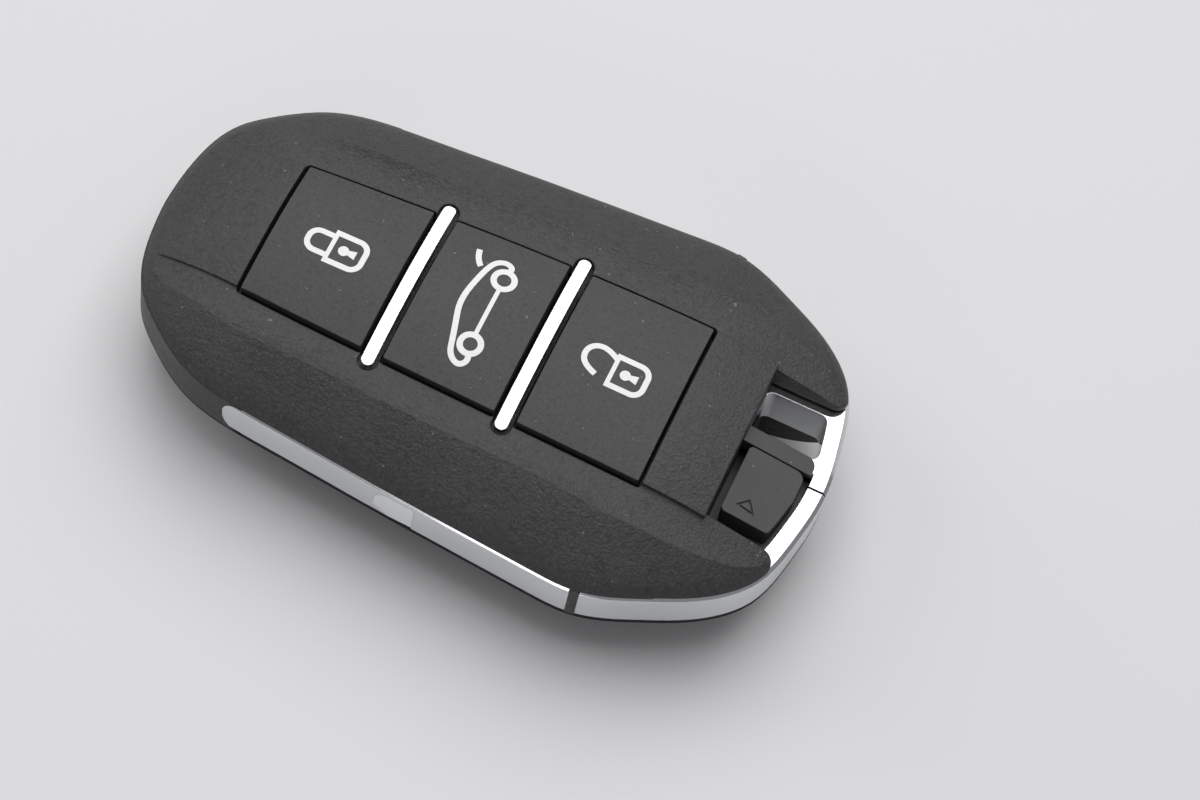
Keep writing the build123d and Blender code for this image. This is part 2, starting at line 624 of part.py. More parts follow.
def make_inner_frame():
    plate = slab(PLATE_INSET, PLATE_BOTTOM, BASE_TOP) & block(-BIG, CAVITY_RIGHT, -BIG, BIG, -BIG, BIG)
    frame = Part() + plate
    frame -= rod(BATTERY_X, BATTERY_Y, 0, BIG, BATTERY_RADIUS + NEST_CLEAR)
    nest_bottom = BATTERY_BOTTOM + NEST_WALL
    nest = rod(BATTERY_X, BATTERY_Y, nest_bottom, PLATE_BOTTOM, BATTERY_RADIUS + NEST_CLEAR + NEST_WALL)
    nest -= rod(BATTERY_X, BATTERY_Y, 0, BIG, BATTERY_RADIUS + NEST_CLEAR)
    frame += nest
    for angle in (-60, 60, 180):
        a = math.radians(angle)
        r = BATTERY_RADIUS + NEST_CLEAR / 2
        x, y = BATTERY_X + r * math.cos(a), BATTERY_Y + r * math.sin(a)
        pip = rod(x, y, nest_bottom, PLATE_BOTTOM, NEST_WALL)
        frame += pip - rod(BATTERY_X, BATTERY_Y, 0, BIG, BATTERY_RADIUS)
    y0 = BLADE_NEAR - CHANNEL_CLEAR - CHANNEL_WALL
    y1 = BLADE_NEAR + BLADE_WIDTH + CHANNEL_CLEAR + CHANNEL_WALL
    frame += block(CHANNEL_LEFT, CAVITY_RIGHT, y0, y1, PLATE_BOTTOM, CHANNEL_TOP)
    z0, z1 = BLADE_BOTTOM - CHANNEL_CLEAR, BLADE_BOTTOM + BLADE_THICK + CHANNEL_CLEAR
    frame -= block(BLADE_TIP - CHANNEL_CLEAR * 2, BIG, y0 + CHANNEL_WALL, y1 - CHANNEL_WALL, z0, z1)
    end = slab(RING_WIDTH + SPLIT_GAP, BASE_TOP + CHANNEL_CLEAR, SHELL_SPLIT)
    end = end & block(CAVITY_RIGHT + CHANNEL_CLEAR, BIG, -BIG, TONGUE_TIP, -BIG, BIG)
    well = block(RECESS_LEFT, BIG, -RECESS_HALF, TONGUE_TIP + OVERRUN, DECK_TOP, BIG)
    room_x0, room_x1 = RECESS_LEFT + NEST_WALL, LEG_RIGHT + NEST_WALL
    room = block(room_x0, room_x1, -RECESS_HALF, TONGUE_TIP + OVERRUN, BASE_TOP + NEST_WALL, DECK_BOTTOM)
    slot_x0, slot_x1 = LEG_LEFT - CHANNEL_CLEAR, LEG_RIGHT + CHANNEL_CLEAR
    slot_near = LEG_NEAR - SLIDER_TRAVEL - CHANNEL_CLEAR
    slot = block(slot_x0, slot_x1, slot_near, TONGUE_TIP + OVERRUN, DECK_BOTTOM, DECK_TOP)
    end = end - well - room - slot
    bridge = slab(PLATE_INSET, PLATE_BOTTOM, DECK_TOP)
    bridge = bridge & block(CAVITY_RIGHT - RISER, CAVITY_RIGHT, -BIG, 0, -BIG, BIG)
    lift = slab(PLATE_INSET, BASE_TOP + CHANNEL_CLEAR, DECK_TOP)
    lift = lift & block(CAVITY_RIGHT - RISER, CAVITY_RIGHT + RISER / 2, -BIG, 0, -BIG, BIG)
    frame = frame + end
    frame = frame + bridge + lift
    clip_x, clip_half = BATTERY_X + BATTERY_RADIUS, CLIP_WIDTH / 2 + NEST_CLEAR
    clip_near, clip_far = BATTERY_Y - clip_half, BATTERY_Y + clip_half
    frame -= block(clip_x, clip_x + LEAF + NEST_CLEAR, clip_near, clip_far, 0, BOARD_BOTTOM)
    for x, y in places(STANDOFF_SHARES):
        frame += rod(x, y, BASE_TOP - NEST_WALL, BOARD_BOTTOM, STANDOFF_RADIUS)
    return as_one(frame)


def make_circuit_board():
    points = [(BOARD_LEFT, BOARD_FAR), (BOARD_RIGHT, BOARD_FAR), (BOARD_RIGHT, BOARD_NEAR),
              (BOARD_LEFT + BOARD_CUT_X, BOARD_NEAR), (BOARD_LEFT, BOARD_NEAR + BOARD_CUT_Y)]
    board = Pos(0, 0, BOARD_BOTTOM) * extrude(make_face(Polyline(*points, close=True)), BOARD_THICK)
    for x, y in places(POST_SHARES):
        board -= rod(x, y, 0, BIG, POST_RADIUS + POST_HOLE_CLEAR)
    return as_one(board)


def make_battery():
    cell = rod(BATTERY_X, BATTERY_Y, BATTERY_BOTTOM, BATTERY_BOTTOM + BATTERY_THICK, BATTERY_RADIUS)
    return fillet(cell.edges().filter_by(GeomType.CIRCLE), BATTERY_EDGE)


def make_contact_negative():
    """Leaf that bends down from the board to the middle of the cell."""
    top = BATTERY_BOTTOM + BATTERY_THICK
    x0, x1 = BATTERY_X - LEAF_LENGTH / 2, BATTERY_X + LEAF_LENGTH / 2
    points = [(x0, BOARD_BOTTOM), (x0, BOARD_BOTTOM - LEAF), (x0 + LEAF_FOOT, BOARD_BOTTOM - LEAF),
              (x1 - LEAF_FOOT, top), (x1, top), (x1, top + LEAF), (x1 - LEAF_FOOT + LEAF, top + LEAF),
              (x0 + LEAF_FOOT + LEAF, BOARD_BOTTOM)]
    y0 = BATTERY_Y - LEAF_WIDTH / 2
    profile = Polyline(*[(x, y0, z) for x, z in points], close=True)
    return Solid.extrude(Face(Wire(profile.edges())), Vector(0, LEAF_WIDTH, 0))


def make_contact_positive():
    """Clip that stands against the cell's rim."""
    x0 = BATTERY_X + BATTERY_RADIUS
    y0, y1 = BATTERY_Y - CLIP_WIDTH / 2, BATTERY_Y + CLIP_WIDTH / 2
    clip = block(x0, x0 + LEAF, y0, y1, BATTERY_BOTTOM + LEAF, BOARD_BOTTOM)
    clip += block(x0, x0 + LEAF_FOOT, y0, y1, BOARD_BOTTOM - LEAF, BOARD_BOTTOM)
    return as_one(clip)


def make_switch(name):
    x = sum(BUTTON_SPANS[name]) / 2
    half = SWITCH_SIZE / 2
    body = soft_block(x - half, x + half, -half, half, BOARD_TOP, BOARD_TOP + SWITCH_HEIGHT, COIL_CORNER)
    body += rod(x, 0, BOARD_TOP + SWITCH_HEIGHT, MAT_BOTTOM, PLUNGER_RADIUS)
    return as_one(body)


def make_board_part(name):
    share_x, share_y, length, width, height = PART_SHARES[name]
    x, y = BOARD_LEFT + share_x * BOARD_LENGTH, BOARD_NEAR + share_y * BOARD_WIDTH
    half_l, half_w = length * BOARD_LENGTH / 2, width * BOARD_WIDTH / 2
    radius = COIL_CORNER if "coil" in name else COIL_CORNER / 3
    top = BOARD_TOP + height * PART_HEIGHT
    return as_one(soft_block(x - half_l, x + half_l, y - half_w, y + half_w, BOARD_TOP, top, radius))


def make_keypad_mat():
    mat = soft_block(MAT_LEFT, MAT_RIGHT, MAT_NEAR, MAT_FAR, MAT_BOTTOM, MAT_BOTTOM + MAT_THICK, MAT_CORNER)
    for span in BUTTON_SPANS.values():
        mat -= rod(sum(span) / 2, 0, 0, BIG, DOME_RADIUS)
    for x, y in places(MAT_FOOT_SHARES):
        mat += rod(x, y, BOARD_TOP, MAT_BOTTOM, FOOT_RADIUS)
    for x, y in places(POST_SHARES):
        mat -= rod(x, y, 0, BIG, POST_RADIUS + POST_HOLE_CLEAR)
    return as_one(mat)


def make_dome(name):
    x = sum(BUTTON_SPANS[name]) / 2
    dome = rod(x, 0, MAT_BOTTOM, MAT_BOTTOM + MAT_THICK, DOME_RADIUS)
    dome += Pos(x, 0, MAT_BOTTOM + MAT_THICK) * extrude(Circle(DOME_RADIUS - BAR_GAP), MAT_THICK, taper=30)
    dome += rod(x, 0, MAT_BOTTOM, DOME_TOP, DOME_POST_RADIUS)
    return as_one(dome)


def make_cap(name):
    x0, x1 = BUTTON_SPANS[name]
    cap = tall(panel_face(x0, x1, 0, 0, 0, BAR_GAP / 2), CAP_BOTTOM) & cap_top
    flange = panel_face(x0, x1, CAP_FLANGE, CAP_FLANGE, CAP_FLANGE + BUTTON_GAP, OPENING_RADIUS)
    cap = Part() + cap + tall(flange, CAP_BOTTOM, CAP_FLANGE_TOP)
    inner = panel_face(x0, x1, -CAP_WALL, -CAP_WALL, -CAP_WALL, OPENING_RADIUS)
    cap -= tall(inner, 0, CAP_ROOF)
    middle = (x0 + x1) / 2
    half = CAP_POST / 2
    cap += block(middle - half, middle + half, -half, half, CAP_BOTTOM, CAP_ROOF)
    return cap


def ribbon(points, width):
    """Stroke of even width along a smooth line."""
    line = Spline(*points)
    count = 8 * len(points)
    sides = ([], [])
    for i in range(count + 1):
        p = line @ (i / count)
        d = line % (i / count)
        for side, sign in zip(sides, (1, -1)):
            side.append((p.X - sign * d.Y * width / 2, p.Y + sign * d.X * width / 2))
    left, right = sides
    loop = Curve() + Spline(*left) + Line(left[-1], right[-1])
    loop += Spline(*reversed(right))
    loop += Line(right[0], left[0])
    return make_face(loop)


def padlock(left):
    """Padlock body with its keyhole, the shackle not included."""
    middle = left + PADLOCK_LENGTH / 2
    outer = Rectangle(PADLOCK_LENGTH, 2 * PADLOCK_HALF)
    outer = fillet(outer.vertices().group_by(Axis.X)[-1], PADLOCK_CORNER)
    inner_left, inner_right = left + THIN_STROKE, left + PADLOCK_LENGTH - STROKE
    inner = Rectangle(inner_right - inner_left, 2 * (PADLOCK_HALF - STROKE))
    inner = fillet(inner.vertices().group_by(Axis.X)[-1], PADLOCK_CORNER - STROKE)
    shape = Pos(middle, 0) * outer - Pos((inner_left + inner_right) / 2, 0) * inner
    x = left + KEYHOLE_PLACE
    tail = Polyline((x, -KEYHOLE_TAIL_HALF / 3), (x + KEYHOLE_TAIL, -KEYHOLE_TAIL_HALF),
                    (x + KEYHOLE_TAIL, KEYHOLE_TAIL_HALF), (x, KEYHOLE_TAIL_HALF / 3), close=True)
    return shape, Pos(x, 0) * Circle(KEYHOLE_RADIUS) + make_face(tail)


def closed_shackle(left):
    span = SHACKLE_REACH + THIN_STROKE
    outer = Rectangle(span, 2 * SHACKLE_HALF)
    outer = fillet(outer.vertices().group_by(Axis.X)[0], SHACKLE_CORNER)
    inner = Rectangle(span - STROKE, 2 * (SHACKLE_HALF - STROKE))
    inner = fillet(inner.vertices().group_by(Axis.X)[0], SHACKLE_CORNER - STROKE)
    x = left + THIN_STROKE
    return Pos(x - span / 2, 0) * outer - Pos(x - (span - STROKE) / 2, 0) * inner


def symbol_faces(name):
    """Plan shapes of one symbol."""
    if name == "lock":
        body, keyhole = padlock(LOCK_LEFT)
        return [body + closed_shackle(LOCK_LEFT), keyhole]
    if name == "unlock":
        body, keyhole = padlock(UNLOCK_LEFT)
        points = [(UNLOCK_LEFT + a * PADLOCK_LENGTH, b * PADLOCK_LENGTH) for a, b in OPEN_SHACKLE_SHARES]
        return [body + ribbon(points, STROKE), keyhole]
    middle = sum(BOOT_SPAN) / 2
    line, lid, wheels = [[(middle + a * CAR_HALF, b * CAR_HALF) for a, b in shares]
                         for shares in (CAR_SHARES, CAR_LID_SHARES, CAR_WHEEL_SHARES)]
    (xa, ya), (xb, yb) = wheels
    car = ribbon(line, STROKE)
    car += ribbon([(xa, ya), ((xa + xb) / 2, (ya + yb) / 2), (xb, yb)], THIN_STROKE)
    for x, y in wheels:
        car += Pos(x, y) * Circle(WHEEL_OUTER)
    for x, y in wheels:
        car -= Pos(x, y) * Circle(WHEEL_INNER)
    return [car, ribbon(lid, STROKE)]


def make_button(name):
    """Cap and its symbol: the symbol is let into the cap's top."""
    cap = make_cap(name)
    symbol = Part()
    for face in symbol_faces(name):
        column = tall(face, CAP_ROOF)
        symbol += (column & cap_top) - cap_symbol_floor
        cap -= column - cap_symbol_floor
    return as_one(cap), symbol


def make_divider_bar(key):
    x = BAR_CENTRES[key]
    half = panel_half(x) + BAR_OVERHANG
    plan = soft_block(x - BAR_WIDTH / 2, x + BAR_WIDTH / 2, -half, half, BAR_SEAT, BIG, BAR_CORNER)
    return as_one(plan & bar_top)


def build_nodes():
    nodes = {
        "upper_cover": make_upper_cover(),
        "lower_cover": make_lower_cover(),
        "inner_frame": make_inner_frame(),
        "side_trim_near": make_side_trim(-1),
        "side_trim_far": make_side_trim(1),
        "corner_trim": make_corner_trim(),
        "key_head": make_key_head(),
        "key_blade": make_key_blade(),
        "recess_bar": make_recess_bar(),
        "release_slider": make_release_slider(),
        "release_spring": make_release_spring(),
        "circuit_board": make_circuit_board(),
        "battery": make_battery(),
        "contact_negative": make_contact_negative(),
        "contact_positive": make_contact_positive(),
        "keypad_mat": make_keypad_mat(),
    }
    for key in BAR_CENTRES:
        nodes["divider_bar_" + key] = make_divider_bar(key)
    for name in PART_SHARES:
        nodes[name] = make_board_part(name)
    for name in BUTTON_SPANS:
        cap, symbol = make_button(name)
        nodes[name + "_button"] = cap
        nodes[name + "_symbol"] = symbol
        nodes[name + "_switch"] = make_switch(name)
        nodes[name + "_dome"] = make_dome(name)
    return nodes


os.makedirs("parts", exist_ok=True)
for node, shape in build_nodes().items():
    export_step(shape, "parts/" + node + ".step")
    limits = shape.bounding_box()
    print(node, "solids", len(shape.solids()), "volume %.1f" % shape.volume,
          "x %.2f %.2f" % (limits.min.X, limits.max.X), "y %.2f %.2f" % (limits.min.Y, limits.max.Y),
          "z %.2f %.2f" % (limits.min.Z, limits.max.Z))
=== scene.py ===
import json
import math

import bpy
from mathutils import Matrix, Vector


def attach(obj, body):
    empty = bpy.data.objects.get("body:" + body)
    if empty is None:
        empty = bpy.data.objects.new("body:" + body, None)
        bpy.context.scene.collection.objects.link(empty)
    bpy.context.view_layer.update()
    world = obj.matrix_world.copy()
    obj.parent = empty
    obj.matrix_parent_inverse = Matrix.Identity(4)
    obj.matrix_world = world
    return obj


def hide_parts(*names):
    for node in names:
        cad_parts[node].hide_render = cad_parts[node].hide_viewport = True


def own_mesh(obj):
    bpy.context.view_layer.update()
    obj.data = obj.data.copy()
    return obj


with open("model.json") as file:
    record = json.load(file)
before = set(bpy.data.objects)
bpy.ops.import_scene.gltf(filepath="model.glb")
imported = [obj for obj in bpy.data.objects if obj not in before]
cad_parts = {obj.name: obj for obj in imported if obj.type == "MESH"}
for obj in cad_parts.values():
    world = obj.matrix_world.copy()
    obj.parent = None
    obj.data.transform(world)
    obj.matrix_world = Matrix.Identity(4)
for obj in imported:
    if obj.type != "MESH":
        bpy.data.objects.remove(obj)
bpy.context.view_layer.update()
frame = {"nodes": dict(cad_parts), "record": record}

NODES = frame["nodes"]
MM = 0.001

# Faces that meet at less than this angle are shaded as one curved surface
SMOOTH_ANGLE = math.radians(24)

# Camera, found from the photograph: place in millimetres, its three directions, lens and sensor
CAMERA_PLACE = (46.9, -171.54, 343.29)
CAMERA_RIGHT = (0.90654, 0.40653, 0.11366)
CAMERA_DOWN = (0.41161, -0.79162, -0.45157)
CAMERA_FORWARD = (-0.0936, 0.45615, -0.88497)
CAMERA_NEAR = 0.01
LENS = 114.0
SENSOR = 36.0

# Soft boxes: place and size in metres, power in watts, and the point that they all face
SOFT_BOXES = {
    "key_box": {"place": (-0.06, 0.4, 0.85), "size": (0.95, 1.2), "power": 8.2},
    "front_box": {"place": (-0.08, -0.76, 0.4), "size": (0.8, 0.12), "power": 0.5},
    "side_box": {"place": (-0.7, 0.05, 0.45), "size": (0.4, 0.5), "power": 1.2},
}
LIT_POINT = (0, 0, 0.01)
SURROUND = (0.8, 0.81, 0.83, 1)
SURROUND_STRENGTH = 0.28
FLOOR_HALF = 2.0

# Colours, linear
SHELL = (0.039, 0.038, 0.038)
CAP = (0.04, 0.0395, 0.04)
CATCH = (0.03, 0.03, 0.032)
TRAY = (0.05, 0.05, 0.054)
INK = (0.95, 0.95, 0.94)
CHROME = (0.86, 0.87, 0.89)
STEEL = (0.56, 0.55, 0.53)
CELL = (0.66, 0.66, 0.64)
RUBBER = (0.16, 0.17, 0.19)
CHIP = (0.02, 0.02, 0.022)
MASK = (0.012, 0.11, 0.05)
TRACK = (0.05, 0.22, 0.09)
PAD = (0.6, 0.58, 0.5)
FLOOR = (0.74, 0.74, 0.75)
DUST = (0.3, 0.3, 0.29)

# Every noise, every rounded edge, and the sockets of a colour mix
NOISE_ROUGHNESS = 0.55
EDGE_SAMPLES = 6
MIX_FACTOR, MIX_FIRST, MIX_SECOND, MIX_RESULT = 0, 6, 7, 2

# Bands of noise values that a ramp spreads out: most of them, and nearly all of them
MOST = (0.3, 0.7)
WIDE = (0.25, 0.75)

# Moulded plastics: size and depth of the grain and rounding of the edges, in millimetres
PLASTICS = {
    "shell": {"name": "shell_grain", "colour": SHELL, "roughness": 0.49,
              "grain": 0.29, "depth": 0.12, "edge": 0.2, "specular": 0.43},
    "cap": {"name": "cap_satin", "colour": CAP, "roughness": 0.5,
            "grain": 0.18, "depth": 0.024, "edge": 0.14, "specular": 0.42},
    "catch": {"name": "catch_satin", "colour": CATCH, "roughness": 0.42,
              "grain": 0.12, "depth": 0.01, "edge": 0.14, "specular": 0.5},
    "tray": {"name": "tray_plastic", "colour": TRAY, "roughness": 0.45,
             "grain": 0.3, "depth": 0.008, "edge": 0.1, "specular": 0.5},
    "chip": {"name": "chip_resin", "colour": CHIP, "roughness": 0.4,
             "grain": 0.1, "depth": 0.006, "edge": 0.08, "specular": 0.5},
}

# What the plastics share. Each kind of mark shows in a band of values, up to a share of cover,
# in a shade of the colour; pits have a share of the grain's size and depth, and clouds add to
# the roughness
CLOUD_NOISE = {"size": 7.0, "detail": 4}
CLOUD_SHADES = (0.88, 1.14)
CLOUD_ROUGH = (-0.05, 0.06)
GRAIN_DETAIL = 3
GRAIN_BAND = (0.42, 0.66)
GRAIN_COVER = 0.7
GRAIN_SHADE = 1.7
PIT_SIZE = 2.6
PIT_DETAIL = 1
PIT_DEPTH = 0.4
PIT_BAND = (0.3, 0.45)
PIT_COVER = 0.5
PIT_SHADE = 0.55
WORN_BAND = (0.53, 0.62)
WORN_COVER = 0.5
WORN_SHADE = 1.5
DUST_NOISE = {"size": 0.42, "detail": 0}
DUST_BAND = (0.832, 0.86)
DUST_COVER = 0.45

# Plating, whose smears raise its roughness
PLATING_ROUGH = (0.035, 0.105)
PLATING_EDGE = 0.14
SMEAR_NOISE = {"size": 3.0, "detail": 5, "stretch": (0.35, 1.0, 1.0)}
SMEAR_SHADE = 0.93
SMEAR_BAND = (0.35, 0.75)
PEEL_NOISE = {"size": 1.4, "detail": 2}
PEEL_DEPTH = 0.0012

# Ground metal: the stretch sets which way its scratches run
METALS = {
    "steel": {"name": "ground_steel", "colour": STEEL, "stretch": (0.04, 1.0, 1.0)},
    "cell": {"name": "cell_can", "colour": CELL, "stretch": (0.3, 0.3, 1.0)},
}
METAL_EDGE = 0.08
METAL_ROUGH = (0.22, 0.4)
STAIN_NOISE = {"size": 4.0, "detail": 4}
STAIN_SHADE = 0.85
SCRATCH_NOISE = {"size": 0.12, "detail": 2}
SCRATCH_DEPTH = 0.006
SCRATCH_BAND = (0.55, 0.8)
SCRATCH_COVER = 0.5
SCRATCH_SHADE = 0.6

# White inlay, with its pores
PORE_NOISE = {"size": 0.14, "detail": 3}
PORE_DEPTH = 0.008
PORE_BAND = (0.3, 0.6)
PORE_SHADE = 0.84
INK_EDGE = 0.05
INK_ROUGH = (0.4, 0.55)

# Circuit board: its tracks, plated pads and solder mask, spaced in millimetres
TRACK_TURN = math.radians(45)
TRACK_SPACING = 14
TRACK_WANDER = 6.0
TRACK_DETAIL = 1.0
TRACK_BAND = (0.55, 0.62)
TRACK_DEPTH = 0.03
PAD_SPACING = 2.6
PAD_BAND = (0.14, 0.17)
MASK_NOISE = {"size": 1.0, "detail": 2}
MASK_ROUGH = (0.25, 0.4)

# Silicone, with its bloom
BLOOM_NOISE = {"size": 2.5, "detail": 4}
BLOOM_SHADES = (0.85, 1.1)
RUBBER_NOISE = {"size": 0.3, "detail": 3}
RUBBER_DEPTH = 0.01
RUBBER_EDGE = 0.15
RUBBER_ROUGH = (0.5, 0.62)
RUBBER_SCATTER = 0.08

# Floor, with a slow drift of tone
DRIFT_NOISE = {"size": 60.0, "detail": 4}
DRIFT_SHADE = 0.97
FLOOR_NOISE = {"size": 0.6, "detail": 3}
FLOOR_DEPTH = 0.01
FLOOR_ROUGH = (0.4, 0.5)

# Soft pieces, shown as copies: their slot, the joint that presses them and its axis,
# their still end in millimetres, and the share of their height that they keep
UP = (0, 0, 1)
BACK = (0, 1, 0)
DOME_STILL = (0, 0, 10.5)
SPRING_STILL = (0, -8.54, 0)
SOFT_KEEP = 0.8
SOFT_PIECES = {
    "lock_dome": ("rubber", "lock_press", UP, DOME_STILL, SOFT_KEEP),
    "boot_dome": ("rubber", "boot_press", UP, DOME_STILL, SOFT_KEEP),
    "unlock_dome": ("rubber", "unlock_press", UP, DOME_STILL, SOFT_KEEP),
    "release_spring": ("steel", "release_slide", BACK, SPRING_STILL, SOFT_KEEP),
}


class Graph:
    """One new material, with short ways to add nodes to it and link them."""

    def __init__(self, name):
        self.material = bpy.data.materials.new(name)
        self.material.use_nodes = True
        self.tree = self.material.node_tree
        self.shader = self.tree.nodes["Principled BSDF"]
        self.place = self.add("ShaderNodeTexCoord").outputs["Object"]

    def add(self, kind, links=(), **values):
        """New node: values are its own settings, links go to its sockets by name."""
        node = self.tree.nodes.new(kind)
        for key, value in values.items():
            setattr(node, key, value)
        for name, source in dict(links).items():
            self.put(node.inputs[name], source)
        return node

    def put(self, socket, source):
        """Link another node's output to a socket, or set a plain value on it."""
        if isinstance(source, bpy.types.NodeSocket):
            self.tree.links.new(source, socket)
        else:
            socket.default_value = source

    def noise(self, size, detail, stretch=None):
        """Noise with features of about the given size in millimetres."""
        place = self.place
        if stretch:
            links = {"Vector": place, "Scale": stretch}
            place = self.add("ShaderNodeMapping", links).outputs[0]
        links = {"Vector": place, "Scale": 1 / (size * MM),
                 "Detail": detail, "Roughness": NOISE_ROUGHNESS}
        return self.add("ShaderNodeTexNoise", links).outputs["Fac"]

    def ramp(self, value, band, out=(0, 1)):
        """Value spread from a band onto the out range, and held at its ends."""
        links = {"Value": value, "From Min": band[0], "From Max": band[1],
                 "To Min": out[0], "To Max": out[1]}
        return self.add("ShaderNodeMapRange", links).outputs[0]

    def mix(self, factor, first, second):
        """Blend of two colours, each one a plain value or another node's output."""
        node = self.add("ShaderNodeMix", data_type="RGBA")
        self.put(node.inputs[MIX_FACTOR], factor)
        for index, colour in ((MIX_FIRST, first), (MIX_SECOND, second)):
            plain = not isinstance(colour, bpy.types.NodeSocket)
            self.put(node.inputs[index], (*colour, 1) if plain else colour)
        return node.outputs[MIX_RESULT]

    def bump(self, height, depth, normal=None):
        """Bump whose full height is depth in millimetres."""
        links = {"Height": height, "Distance": depth * MM, "Strength": 1.0}
        if normal:
            links["Normal"] = normal
        return self.add("ShaderNodeBump", links).outputs[0]

    def soft_edges(self, radius):
        """Normal that rounds sharp edges by a radius in millimetres."""
        links = {"Radius": radius * MM}
        return self.add("ShaderNodeBevel", links, samples=EDGE_SAMPLES).outputs[0]

    def finish(self, **sockets):
        """Fill the shader's sockets, named with _ for a space, and give the material."""
        for name, source in sockets.items():
            self.put(self.shader.inputs[name.replace("_", " ")], source)
        return self.material


def shaded(colour, factor):
    return tuple(c * factor for c in colour)


def moulded(name, colour, roughness, grain, depth, edge, specular):
    """Textured plastic: grain, slow mottling, paler worn edges and a few specks of dust."""
    g = Graph(name)
    fine = g.noise(grain, GRAIN_DETAIL)
    cloudy = g.noise(**CLOUD_NOISE)
    pits = g.noise(grain * PIT_SIZE, PIT_DETAIL)
    pointed = g.add("ShaderNodeNewGeometry").outputs["Pointiness"]
    dust = g.noise(**DUST_NOISE)
    dark, pale = (shaded(colour, shade) for shade in CLOUD_SHADES)
    base = g.mix(g.ramp(cloudy, MOST), dark, pale)
    base = g.mix(g.ramp(fine, GRAIN_BAND, (0, GRAIN_COVER)), base, shaded(colour, GRAIN_SHADE))
    base = g.mix(g.ramp(pits, PIT_BAND, (PIT_COVER, 0)), base, shaded(colour, PIT_SHADE))
    base = g.mix(g.ramp(pointed, WORN_BAND, (0, WORN_COVER)), base, shaded(colour, WORN_SHADE))
    base = g.mix(g.ramp(dust, DUST_BAND, (0, DUST_COVER)), base, DUST)
    rough = g.ramp(cloudy, WIDE, [roughness + change for change in CLOUD_ROUGH])
    normal = g.bump(pits, depth * PIT_DEPTH, g.soft_edges(edge))
    normal = g.bump(fine, depth, normal)
    return g.finish(Base_Color=base, Roughness=rough, Normal=normal, Specular_IOR_Level=specular)


def plated(name):
    """Mirror plating with faint smears and very slight orange peel."""
    g = Graph(name)
    smear = g.noise(**SMEAR_NOISE)
    base = g.mix(g.ramp(smear, MOST), CHROME, shaded(CHROME, SMEAR_SHADE))
    rough = g.ramp(smear, SMEAR_BAND, PLATING_ROUGH)
    normal = g.bump(g.noise(**PEEL_NOISE), PEEL_DEPTH, g.soft_edges(PLATING_EDGE))
    return g.finish(Base_Color=base, Metallic=1.0, Roughness=rough, Normal=normal)


def ground(name, colour, stretch):
    """Ground metal with long fine scratches and faint stains."""
    g = Graph(name)
    scratch = g.noise(**SCRATCH_NOISE, stretch=stretch)
    stain = g.noise(**STAIN_NOISE)
    base = g.mix(g.ramp(stain, MOST), shaded(colour, STAIN_SHADE), colour)
    marks = g.ramp(scratch, SCRATCH_BAND, (0, SCRATCH_COVER))
    base = g.mix(marks, base, shaded(colour, SCRATCH_SHADE))
    rough = g.ramp(scratch, MOST, METAL_ROUGH)
    normal = g.bump(scratch, SCRATCH_DEPTH, g.soft_edges(METAL_EDGE))
    return g.finish(Base_Color=base, Metallic=1.0, Roughness=rough, Normal=normal)


def inlaid_white(name):
    """White inlay, slightly chalky and a little greyer in its pores."""
    g = Graph(name)
    pores = g.noise(**PORE_NOISE)
    base = g.mix(g.ramp(pores, PORE_BAND), shaded(INK, PORE_SHADE), INK)
    rough = g.ramp(pores, MOST, INK_ROUGH)
    normal = g.bump(pores, PORE_DEPTH, g.soft_edges(INK_EDGE))
    return g.finish(Base_Color=base, Roughness=rough, Normal=normal)


def laminate(name):
    """Circuit board: solder mask over raised tracks, and small plated pads."""
    g = Graph(name)
    links = {"Vector": g.place, "Rotation": (0, 0, TRACK_TURN)}
    turned = g.add("ShaderNodeMapping", links).outputs[0]
    links = {"Vector": turned, "Scale": 1 / (TRACK_SPACING * MM),
             "Distortion": TRACK_WANDER, "Detail": TRACK_DETAIL}
    wave = g.add("ShaderNodeTexWave", links).outputs["Fac"]
    links = {"Vector": g.place, "Scale": 1 / (PAD_SPACING * MM)}
    distance = g.add("ShaderNodeTexVoronoi", links).outputs["Distance"]
    tracks = g.ramp(wave, TRACK_BAND)
    base = g.mix(tracks, MASK, TRACK)
    base = g.mix(g.ramp(distance, PAD_BAND, (1, 0)), base, PAD)
    rough = g.ramp(g.noise(**MASK_NOISE), MOST, MASK_ROUGH)
    return g.finish(Base_Color=base, Roughness=rough, Normal=g.bump(tracks, TRACK_DEPTH))


def silicone(name):
    """Soft silicone, slightly cloudy and a little translucent."""
    g = Graph(name)
    cloudy = g.noise(**BLOOM_NOISE)
    dark, pale = (shaded(RUBBER, shade) for shade in BLOOM_SHADES)
    base = g.mix(g.ramp(cloudy, MOST), dark, pale)
    rough = g.ramp(cloudy, MOST, RUBBER_ROUGH)
    normal = g.bump(g.noise(**RUBBER_NOISE), RUBBER_DEPTH, g.soft_edges(RUBBER_EDGE))
    return g.finish(Base_Color=base, Roughness=rough, Normal=normal,
                    Subsurface_Weight=RUBBER_SCATTER)


def pale_top(name):
    """Pale table top with a faint sheen."""
    g = Graph(name)
    cloudy = g.noise(**DRIFT_NOISE)
    base = g.mix(g.ramp(cloudy, MOST), shaded(FLOOR, DRIFT_SHADE), FLOOR)
    rough = g.ramp(cloudy, MOST, FLOOR_ROUGH)
    normal = g.bump(g.noise(**FLOOR_NOISE), FLOOR_DEPTH)
    return g.finish(Base_Color=base, Roughness=rough, Normal=normal)


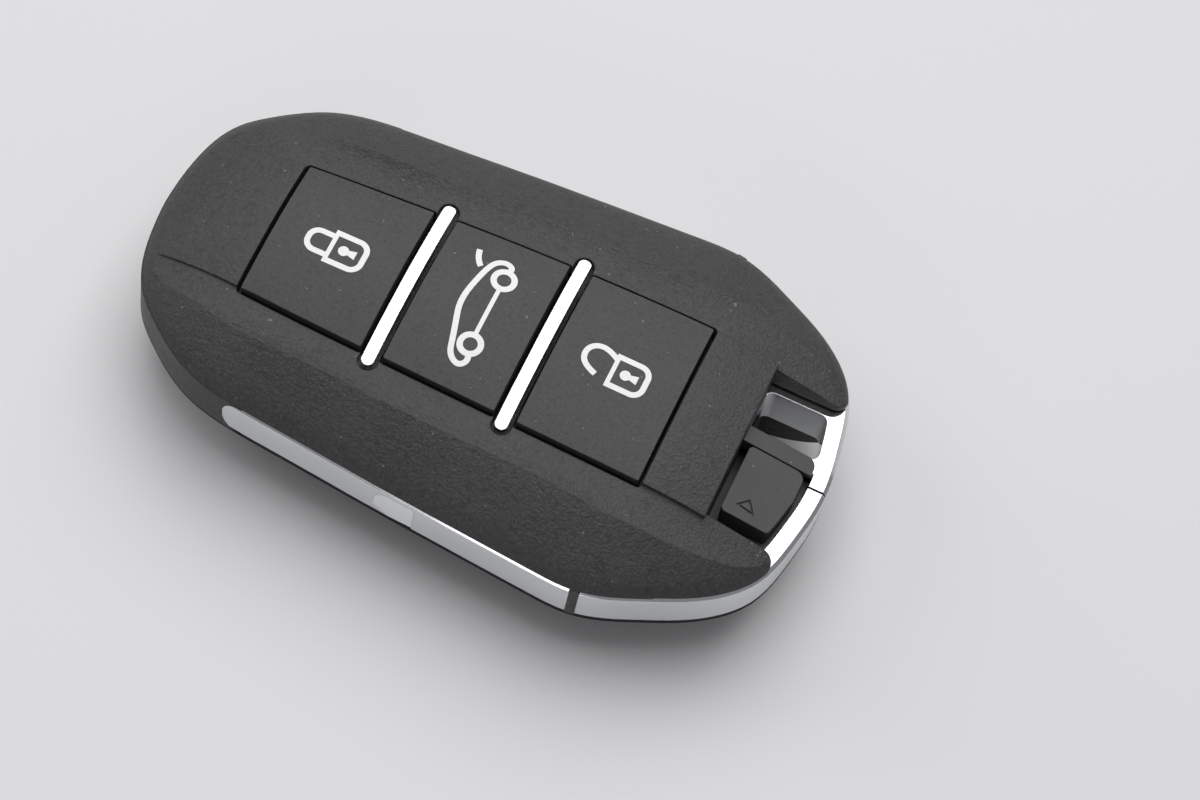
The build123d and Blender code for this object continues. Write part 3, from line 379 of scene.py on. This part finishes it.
def dress():
    """One material per slot, on every CAD node that uses the slot, with smooth curved faces."""
    finishes = {slot: moulded(**values) for slot, values in PLASTICS.items()}
    finishes["chrome"] = plated("chrome_plating")
    finishes["ink"] = inlaid_white("white_inlay")
    finishes.update({slot: ground(**values) for slot, values in METALS.items()})
    finishes["board"] = laminate("board_laminate")
    finishes["rubber"] = silicone("silicone_pad")
    for part in frame["record"]["subparts"]:
        obj = NODES[part["node"]]
        obj.data.materials.clear()
        obj.data.materials.append(finishes[part["material_slot"]])
        obj.data.shade_smooth()
        obj.data.set_sharp_from_angle(angle=SMOOTH_ANGLE)


def show(name, data):
    """Put new data in the scene as an object of the given name."""
    obj = bpy.data.objects.new(name, data)
    bpy.context.collection.objects.link(obj)
    return obj


def make_soft_pieces():
    """Copies of the soft solids, fixed to the housing, in place of the hidden CAD nodes."""
    for name, (slot, joint, axis, still, keep) in SOFT_PIECES.items():
        source = NODES[name]
        piece = show(name + "_soft", source.data.copy())
        piece.matrix_world = source.matrix_world
        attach(piece, "housing")
        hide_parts(name)
        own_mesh(piece)


def make_floor(half):
    corners = [(-half, -half, 0), (half, -half, 0), (half, half, 0), (-half, half, 0)]
    mesh = bpy.data.meshes.new("floor")
    mesh.from_pydata(corners, [], [(0, 1, 2, 3)])
    mesh.materials.append(pale_top("floor_pale"))
    floor = show("floor", mesh)


def soft_box(name, place, size, power):
    data = bpy.data.lights.new(name, "AREA")
    data.shape = "RECTANGLE"
    data.size, data.size_y = size
    data.energy = power
    lamp = show(name, data)
    lamp.location = place
    aim = Vector(LIT_POINT) - Vector(place)
    lamp.rotation_euler = aim.to_track_quat("-Z", "Y").to_euler()


def make_lights():
    """Large soft box overhead, weak ones from the front and the left, and an even surround."""
    for name, values in SOFT_BOXES.items():
        soft_box(name, **values)
    world = bpy.data.worlds.new("surround")
    world.use_nodes = True
    sockets = world.node_tree.nodes["Background"].inputs
    sockets["Color"].default_value = SURROUND
    sockets["Strength"].default_value = SURROUND_STRENGTH
    bpy.context.scene.world = world


def make_camera():
    data = bpy.data.cameras.new("camera")
    data.lens = LENS
    data.sensor_width = SENSOR
    data.sensor_fit = "HORIZONTAL"
    data.clip_start = CAMERA_NEAR
    camera = show("camera", data)
    columns = [Vector(CAMERA_RIGHT), -Vector(CAMERA_DOWN), -Vector(CAMERA_FORWARD)]
    turn = Matrix(columns).transposed().to_4x4()
    camera.matrix_world = Matrix.Translation(Vector(CAMERA_PLACE) * MM) @ turn
    bpy.context.scene.camera = camera


dress()
make_soft_pieces()
make_floor(FLOOR_HALF)
make_lights()
make_camera()
bpy.context.scene.view_settings.view_transform = "Standard"
